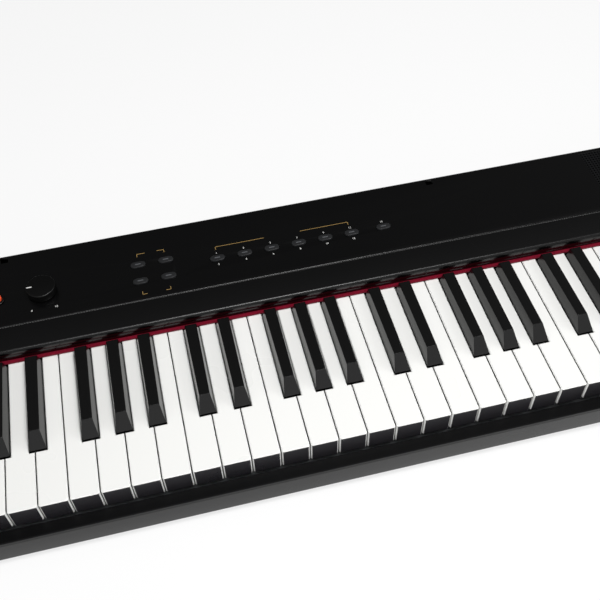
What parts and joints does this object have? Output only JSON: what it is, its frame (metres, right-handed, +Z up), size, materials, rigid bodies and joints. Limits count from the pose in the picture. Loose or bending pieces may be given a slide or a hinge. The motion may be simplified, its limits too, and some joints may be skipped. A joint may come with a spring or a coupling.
{
  "type": "digital piano",
  "caption": "Slim black digital piano with hinged keys, a rear control panel with buttons and a volume knob, and speakers under end grilles.",
  "frame": {"origin": "middle of the footprint on the table", "axes": "+X to the treble end, -Y towards the player, +Z up"},
  "size_m": [1.2914, 0.2638, 0.0809],
  "materials": {
    "case_black": "satin",
    "rail_black": "satin",
    "key_white": "satin gloss",
    "key_black": "satin",
    "felt_red": "felt",
    "frame_grey": "moulded",
    "button_grey": "satin",
    "knob_black": "satin",
    "power_orange": "translucent",
    "grille_black": "satin",
    "trim_black": "gloss",
    "speaker_black": "paper and steel",
    "board_green": "solder mask",
    "foot_rubber": "matt"
  },
  "bodies": {
    "case": {"upper_case": "case_black", "lower_case": "case_black", "front_rail": "rail_black", "felt_strip": "felt_red", "trim_strip": "trim_black", "speaker_grille_left": "grille_black", "speaker_grille_right": "grille_black", "speaker_left": "speaker_black", "speaker_right": "speaker_black", "bass_white_keys": "key_white", "treble_white_keys": "key_white", "bass_black_keys": "key_black", "treble_black_keys": "key_black", "key_frame": "frame_grey", "power_bezel": "knob_black", "panel_board": "board_green", "socket_board": "board_green", "main_board": "board_green", "foot_front_left": "foot_rubber", "foot_front_right": "foot_rubber", "foot_rear_left": "foot_rubber", "foot_rear_right": "foot_rubber"},
    "key_C4": {"key_C4": "key_white"},
    "key_C4_sharp": {"key_C4_sharp": "key_black"},
    "key_D4": {"key_D4": "key_white"},
    "key_D4_sharp": {"key_D4_sharp": "key_black"},
    "key_E4": {"key_E4": "key_white"},
    "key_F4": {"key_F4": "key_white"},
    "key_F4_sharp": {"key_F4_sharp": "key_black"},
    "key_G4": {"key_G4": "key_white"},
    "key_G4_sharp": {"key_G4_sharp": "key_black"},
    "key_A4": {"key_A4": "key_white"},
    "key_A4_sharp": {"key_A4_sharp": "key_black"},
    "key_B4": {"key_B4": "key_white"},
    "key_C5": {"key_C5": "key_white"},
    "key_C5_sharp": {"key_C5_sharp": "key_black"},
    "key_D5": {"key_D5": "key_white"},
    "key_D5_sharp": {"key_D5_sharp": "key_black"},
    "key_E5": {"key_E5": "key_white"},
    "key_F5": {"key_F5": "key_white"},
    "key_F5_sharp": {"key_F5_sharp": "key_black"},
    "key_G5": {"key_G5": "key_white"},
    "key_G5_sharp": {"key_G5_sharp": "key_black"},
    "key_A5": {"key_A5": "key_white"},
    "key_A5_sharp": {"key_A5_sharp": "key_black"},
    "key_B5": {"key_B5": "key_white"},
    "effect_button_rear_left": {"effect_button_rear_left": "button_grey"},
    "effect_button_rear_right": {"effect_button_rear_right": "button_grey"},
    "effect_button_front_left": {"effect_button_front_left": "button_grey"},
    "effect_button_front_right": {"effect_button_front_right": "button_grey"},
    "voice_button_1": {"voice_button_1": "button_grey"},
    "voice_button_2": {"voice_button_2": "button_grey"},
    "voice_button_3": {"voice_button_3": "button_grey"},
    "voice_button_4": {"voice_button_4": "button_grey"},
    "voice_button_5": {"voice_button_5": "button_grey"},
    "voice_button_6": {"voice_button_6": "button_grey"},
    "split_button": {"split_button": "button_grey"},
    "power_button": {"power_button": "power_orange"},
    "volume_knob": {"volume_knob": "knob_black"}
  },
  "joints": [
    {"name": "key_C4_press", "type": "hinge", "parent": "case", "child": "key_C4", "pos_m": [0, 0.0416, 0.0425], "axis": [1, 0, 0], "range_deg": [0, 3.58], "stiffness_Nm_per_rad": 0.5, "springref_deg": -11.46},
    {"name": "key_C4_sharp_press", "type": "hinge", "parent": "case", "child": "key_C4_sharp", "pos_m": [0, 0.0416, 0.0425], "axis": [1, 0, 0], "range_deg": [0, 3.58], "stiffness_Nm_per_rad": 0.5, "springref_deg": -11.46},
    {"name": "key_D4_press", "type": "hinge", "parent": "case", "child": "key_D4", "pos_m": [0, 0.0416, 0.0425], "axis": [1, 0, 0], "range_deg": [0, 3.58], "stiffness_Nm_per_rad": 0.5, "springref_deg": -11.46},
    {"name": "key_D4_sharp_press", "type": "hinge", "parent": "case", "child": "key_D4_sharp", "pos_m": [0, 0.0416, 0.0425], "axis": [1, 0, 0], "range_deg": [0, 3.58], "stiffness_Nm_per_rad": 0.5, "springref_deg": -11.46},
    {"name": "key_E4_press", "type": "hinge", "parent": "case", "child": "key_E4", "pos_m": [0, 0.0416, 0.0425], "axis": [1, 0, 0], "range_deg": [0, 3.58], "stiffness_Nm_per_rad": 0.5, "springref_deg": -11.46},
    {"name": "key_F4_press", "type": "hinge", "parent": "case", "child": "key_F4", "pos_m": [0, 0.0416, 0.0425], "axis": [1, 0, 0], "range_deg": [0, 3.58], "stiffness_Nm_per_rad": 0.5, "springref_deg": -11.46},
    {"name": "key_F4_sharp_press", "type": "hinge", "parent": "case", "child": "key_F4_sharp", "pos_m": [0, 0.0416, 0.0425], "axis": [1, 0, 0], "range_deg": [0, 3.58], "stiffness_Nm_per_rad": 0.5, "springref_deg": -11.46},
    {"name": "key_G4_press", "type": "hinge", "parent": "case", "child": "key_G4", "pos_m": [0, 0.0416, 0.0425], "axis": [1, 0, 0], "range_deg": [0, 3.58], "stiffness_Nm_per_rad": 0.5, "springref_deg": -11.46},
    {"name": "key_G4_sharp_press", "type": "hinge", "parent": "case", "child": "key_G4_sharp", "pos_m": [0, 0.0416, 0.0425], "axis": [1, 0, 0], "range_deg": [0, 3.58], "stiffness_Nm_per_rad": 0.5, "springref_deg": -11.46},
    {"name": "key_A4_press", "type": "hinge", "parent": "case", "child": "key_A4", "pos_m": [0, 0.0416, 0.0425], "axis": [1, 0, 0], "range_deg": [0, 3.58], "stiffness_Nm_per_rad": 0.5, "springref_deg": -11.46},
    {"name": "key_A4_sharp_press", "type": "hinge", "parent": "case", "child": "key_A4_sharp", "pos_m": [0, 0.0416, 0.0425], "axis": [1, 0, 0], "range_deg": [0, 3.58], "stiffness_Nm_per_rad": 0.5, "springref_deg": -11.46},
    {"name": "key_B4_press", "type": "hinge", "parent": "case", "child": "key_B4", "pos_m": [0, 0.0416, 0.0425], "axis": [1, 0, 0], "range_deg": [0, 3.58], "stiffness_Nm_per_rad": 0.5, "springref_deg": -11.46},
    {"name": "key_C5_press", "type": "hinge", "parent": "case", "child": "key_C5", "pos_m": [0, 0.0416, 0.0425], "axis": [1, 0, 0], "range_deg": [0, 3.58], "stiffness_Nm_per_rad": 0.5, "springref_deg": -11.46},
    {"name": "key_C5_sharp_press", "type": "hinge", "parent": "case", "child": "key_C5_sharp", "pos_m": [0, 0.0416, 0.0425], "axis": [1, 0, 0], "range_deg": [0, 3.58], "stiffness_Nm_per_rad": 0.5, "springref_deg": -11.46},
    {"name": "key_D5_press", "type": "hinge", "parent": "case", "child": "key_D5", "pos_m": [0, 0.0416, 0.0425], "axis": [1, 0, 0], "range_deg": [0, 3.58], "stiffness_Nm_per_rad": 0.5, "springref_deg": -11.46},
    {"name": "key_D5_sharp_press", "type": "hinge", "parent": "case", "child": "key_D5_sharp", "pos_m": [0, 0.0416, 0.0425], "axis": [1, 0, 0], "range_deg": [0, 3.58], "stiffness_Nm_per_rad": 0.5, "springref_deg": -11.46},
    {"name": "key_E5_press", "type": "hinge", "parent": "case", "child": "key_E5", "pos_m": [0, 0.0416, 0.0425], "axis": [1, 0, 0], "range_deg": [0, 3.58], "stiffness_Nm_per_rad": 0.5, "springref_deg": -11.46},
    {"name": "key_F5_press", "type": "hinge", "parent": "case", "child": "key_F5", "pos_m": [0, 0.0416, 0.0425], "axis": [1, 0, 0], "range_deg": [0, 3.58], "stiffness_Nm_per_rad": 0.5, "springref_deg": -11.46},
    {"name": "key_F5_sharp_press", "type": "hinge", "parent": "case", "child": "key_F5_sharp", "pos_m": [0, 0.0416, 0.0425], "axis": [1, 0, 0], "range_deg": [0, 3.58], "stiffness_Nm_per_rad": 0.5, "springref_deg": -11.46},
    {"name": "key_G5_press", "type": "hinge", "parent": "case", "child": "key_G5", "pos_m": [0, 0.0416, 0.0425], "axis": [1, 0, 0], "range_deg": [0, 3.58], "stiffness_Nm_per_rad": 0.5, "springref_deg": -11.46},
    {"name": "key_G5_sharp_press", "type": "hinge", "parent": "case", "child": "key_G5_sharp", "pos_m": [0, 0.0416, 0.0425], "axis": [1, 0, 0], "range_deg": [0, 3.58], "stiffness_Nm_per_rad": 0.5, "springref_deg": -11.46},
    {"name": "key_A5_press", "type": "hinge", "parent": "case", "child": "key_A5", "pos_m": [0, 0.0416, 0.0425], "axis": [1, 0, 0], "range_deg": [0, 3.58], "stiffness_Nm_per_rad": 0.5, "springref_deg": -11.46},
    {"name": "key_A5_sharp_press", "type": "hinge", "parent": "case", "child": "key_A5_sharp", "pos_m": [0, 0.0416, 0.0425], "axis": [1, 0, 0], "range_deg": [0, 3.58], "stiffness_Nm_per_rad": 0.5, "springref_deg": -11.46},
    {"name": "key_B5_press", "type": "hinge", "parent": "case", "child": "key_B5", "pos_m": [0, 0.0416, 0.0425], "axis": [1, 0, 0], "range_deg": [0, 3.58], "stiffness_Nm_per_rad": 0.5, "springref_deg": -11.46},
    {"name": "effect_button_rear_left_press", "type": "slide", "parent": "case", "child": "effect_button_rear_left", "axis": [0, 0, -1], "range_m": [0, 0.001], "stiffness_N_per_m": 800, "springref_m": -0.0008},
    {"name": "effect_button_rear_right_press", "type": "slide", "parent": "case", "child": "effect_button_rear_right", "axis": [0, 0, -1], "range_m": [0, 0.001], "stiffness_N_per_m": 800, "springref_m": -0.0008},
    {"name": "effect_button_front_left_press", "type": "slide", "parent": "case", "child": "effect_button_front_left", "axis": [0, 0, -1], "range_m": [0, 0.001], "stiffness_N_per_m": 800, "springref_m": -0.0008},
    {"name": "effect_button_front_right_press", "type": "slide", "parent": "case", "child": "effect_button_front_right", "axis": [0, 0, -1], "range_m": [0, 0.001], "stiffness_N_per_m": 800, "springref_m": -0.0008},
    {"name": "voice_button_1_press", "type": "slide", "parent": "case", "child": "voice_button_1", "axis": [0, 0, -1], "range_m": [0, 0.001], "stiffness_N_per_m": 800, "springref_m": -0.0008},
    {"name": "voice_button_2_press", "type": "slide", "parent": "case", "child": "voice_button_2", "axis": [0, 0, -1], "range_m": [0, 0.001], "stiffness_N_per_m": 800, "springref_m": -0.0008},
    {"name": "voice_button_3_press", "type": "slide", "parent": "case", "child": "voice_button_3", "axis": [0, 0, -1], "range_m": [0, 0.001], "stiffness_N_per_m": 800, "springref_m": -0.0008},
    {"name": "voice_button_4_press", "type": "slide", "parent": "case", "child": "voice_button_4", "axis": [0, 0, -1], "range_m": [0, 0.001], "stiffness_N_per_m": 800, "springref_m": -0.0008},
    {"name": "voice_button_5_press", "type": "slide", "parent": "case", "child": "voice_button_5", "axis": [0, 0, -1], "range_m": [0, 0.001], "stiffness_N_per_m": 800, "springref_m": -0.0008},
    {"name": "voice_button_6_press", "type": "slide", "parent": "case", "child": "voice_button_6", "axis": [0, 0, -1], "range_m": [0, 0.001], "stiffness_N_per_m": 800, "springref_m": -0.0008},
    {"name": "split_button_press", "type": "slide", "parent": "case", "child": "split_button", "axis": [0, 0, -1], "range_m": [0, 0.001], "stiffness_N_per_m": 800, "springref_m": -0.0008},
    {"name": "power_button_press", "type": "slide", "parent": "case", "child": "power_button", "axis": [0, 0, -1], "range_m": [0, 0.0015], "stiffness_N_per_m": 800, "springref_m": -0.001},
    {"name": "volume_knob_turn", "type": "hinge", "parent": "case", "child": "volume_knob", "pos_m": [-0.1706, 0.079, 0.0725], "axis": [0, 0, 1], "range_deg": [-240, 60]}
  ]
}
